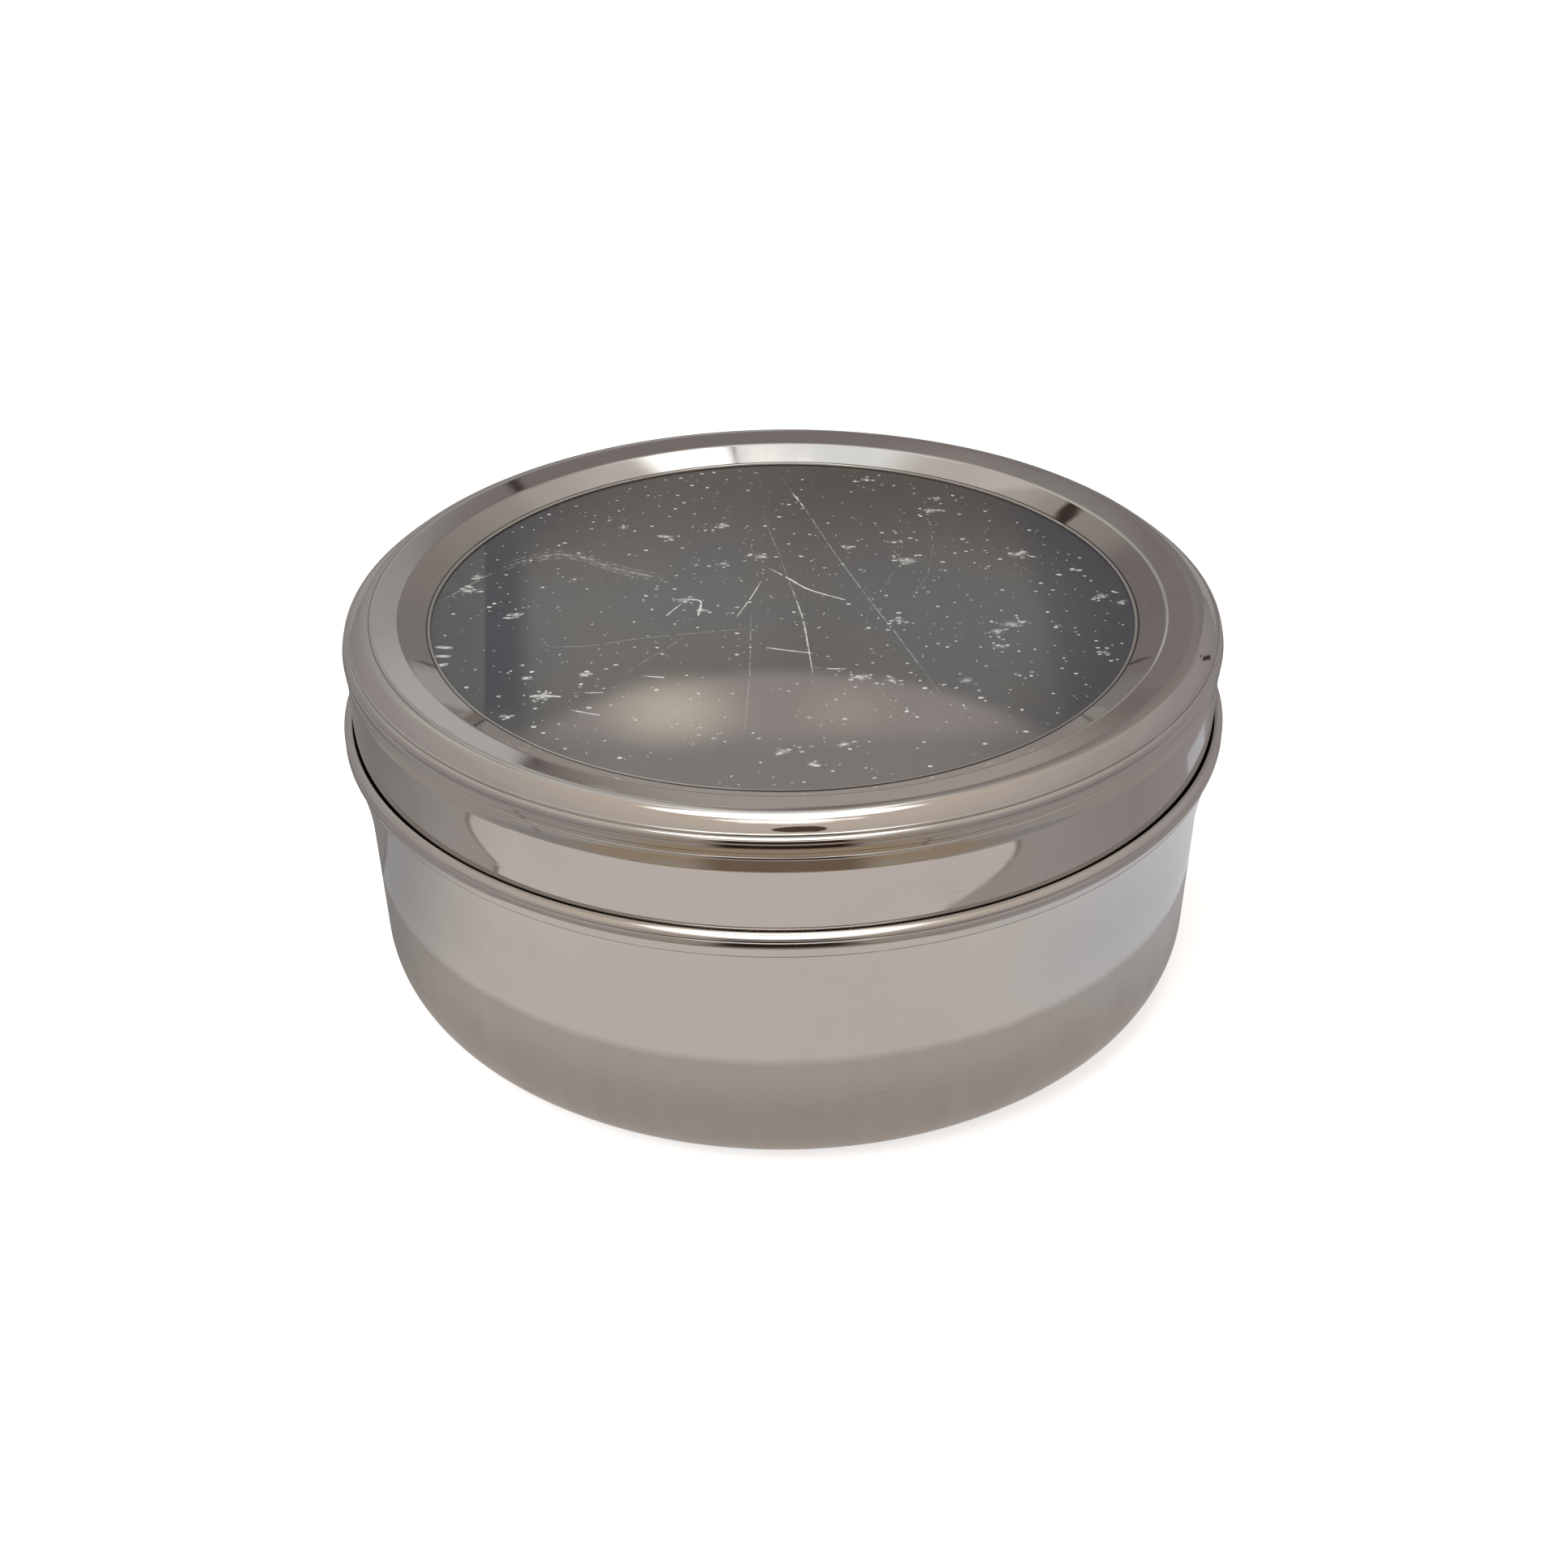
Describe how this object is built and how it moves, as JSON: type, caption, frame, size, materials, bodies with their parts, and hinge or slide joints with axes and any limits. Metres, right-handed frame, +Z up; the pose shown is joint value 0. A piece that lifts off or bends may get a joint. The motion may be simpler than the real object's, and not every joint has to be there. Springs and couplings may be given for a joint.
{
  "type": "spice box",
  "caption": "Round stainless-steel spice box with a beaded collar, a lift-off lid with a see-through window, and small round cups and spoons inside.",
  "frame": {"origin": "centre of the flat base's underside", "axes": "+Z up along the box's axis; -Y is the front. The steel is round about Z; two ring cups lie on the Y axis"},
  "size_m": [0.2032, 0.2032, 0.0899],
  "materials": {
    "steel_box": "mirror-polished stainless steel with fine wipe marks",
    "steel_lid": "mirror-polished stainless steel with fine wipe marks",
    "steel_pressed": "mill-finish stainless steel, unpolished",
    "steel_cup": "bright stainless steel, spun inside",
    "steel_spoon": "bright stainless steel",
    "acrylic_clear": "clear cast acrylic, gloss",
    "film_hazy": "hazy grey protective film with specks, bubbles and scratches"
  },
  "bodies": {
    "box": {"box_body": "steel_box"},
    "lid": {"lid_frame": "steel_lid", "window_pane": "acrylic_clear", "protective_film": "film_hazy", "window_retainer": "steel_pressed"},
    "spice_cup_centre": {"spice_cup_centre": "steel_cup"},
    "spice_cup_1": {"spice_cup_1": "steel_cup"},
    "spice_cup_2": {"spice_cup_2": "steel_cup"},
    "spice_cup_3": {"spice_cup_3": "steel_cup"},
    "spice_cup_4": {"spice_cup_4": "steel_cup"},
    "spice_cup_5": {"spice_cup_5": "steel_cup"},
    "spice_cup_6": {"spice_cup_6": "steel_cup"},
    "spice_spoon_left": {"spice_spoon_left": "steel_spoon"},
    "spice_spoon_right": {"spice_spoon_right": "steel_spoon"}
  },
  "joints": [
    {"name": "lid_lift", "type": "slide", "parent": "box", "child": "lid", "axis": [0, 0, 1], "range_m": [0, 0.32]},
    {"name": "spice_cup_centre_lift", "type": "slide", "parent": "box", "child": "spice_cup_centre", "axis": [0, 0, 1], "range_m": [0, 0.1364]},
    {"name": "spice_cup_1_lift", "type": "slide", "parent": "box", "child": "spice_cup_1", "axis": [0, 0, 1], "range_m": [0, 0.082]},
    {"name": "spice_cup_2_lift", "type": "slide", "parent": "box", "child": "spice_cup_2", "axis": [0, 0, 1], "range_m": [0, 0.1012]},
    {"name": "spice_cup_3_lift", "type": "slide", "parent": "box", "child": "spice_cup_3", "axis": [0, 0, 1], "range_m": [0, 0.082]},
    {"name": "spice_cup_4_lift", "type": "slide", "parent": "box", "child": "spice_cup_4", "axis": [0, 0, 1], "range_m": [0, 0.1012]},
    {"name": "spice_cup_5_lift", "type": "slide", "parent": "box", "child": "spice_cup_5", "axis": [0, 0, 1], "range_m": [0, 0.082]},
    {"name": "spice_cup_6_lift", "type": "slide", "parent": "box", "child": "spice_cup_6", "axis": [0, 0, 1], "range_m": [0, 0.1012]},
    {"name": "spice_spoon_left_lift", "type": "slide", "parent": "box", "child": "spice_spoon_left", "axis": [0, 0, 1], "range_m": [0, 0.2004]},
    {"name": "spice_spoon_right_lift", "type": "slide", "parent": "box", "child": "spice_spoon_right", "axis": [0, 0, 1], "range_m": [0, 0.2004]}
  ],
  "couplings": [
    {"joint": "spice_cup_centre_lift", "follows": "lid_lift", "ratio": 0.42},
    {"joint": "spice_cup_1_lift", "follows": "lid_lift", "ratio": 0.25},
    {"joint": "spice_cup_2_lift", "follows": "lid_lift", "ratio": 0.31},
    {"joint": "spice_cup_3_lift", "follows": "lid_lift", "ratio": 0.25},
    {"joint": "spice_cup_4_lift", "follows": "lid_lift", "ratio": 0.31},
    {"joint": "spice_cup_5_lift", "follows": "lid_lift", "ratio": 0.25},
    {"joint": "spice_cup_6_lift", "follows": "lid_lift", "ratio": 0.31},
    {"joint": "spice_spoon_left_lift", "follows": "lid_lift", "ratio": 0.62},
    {"joint": "spice_spoon_right_lift", "follows": "lid_lift", "ratio": 0.62}
  ]
}
